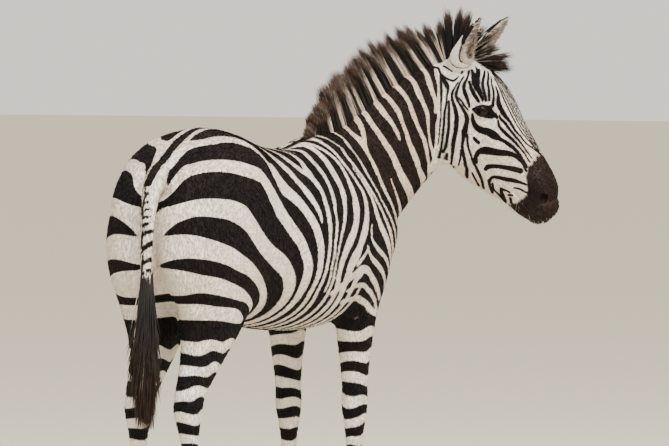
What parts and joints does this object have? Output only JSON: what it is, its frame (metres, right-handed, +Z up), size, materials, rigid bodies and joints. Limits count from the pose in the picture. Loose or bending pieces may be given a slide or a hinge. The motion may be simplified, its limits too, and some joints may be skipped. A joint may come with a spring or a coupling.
{
  "type": "zebra",
  "caption": "Life-size still model of a striped wild horse standing on four hooves, head turned to its right, with an upright mane and a tufted tail.",
  "frame": {"origin": "on the floor, under the middle of the whole model's box", "axes": "+X forward along the trunk, +Y to the animal's left, +Z up; the head is turned to -Y"},
  "size_m": [1.9078, 0.7526, 1.6132],
  "materials": {
    "coat": "short flat fur in black and cream stripes",
    "mane_hair": "stiff hair, black and cream with brown tips",
    "eye": "wet dark brown",
    "hoof": "dull dark horn"
  },
  "bodies": {
    "root": {"trunk": "coat", "neck": "coat", "head": "coat", "foreleg_left": "coat", "foreleg_right": "coat", "hindleg_left": "coat", "hindleg_right": "coat", "tail_dock": "coat", "ear_left": "coat", "ear_right": "coat", "mane": "mane_hair", "forelock": "mane_hair", "tail_tuft": "mane_hair", "eye_left": "eye", "eye_right": "eye", "hoof_fore_left": "hoof", "hoof_fore_right": "hoof", "hoof_hind_left": "hoof", "hoof_hind_right": "hoof"}
  },
  "joints": []
}
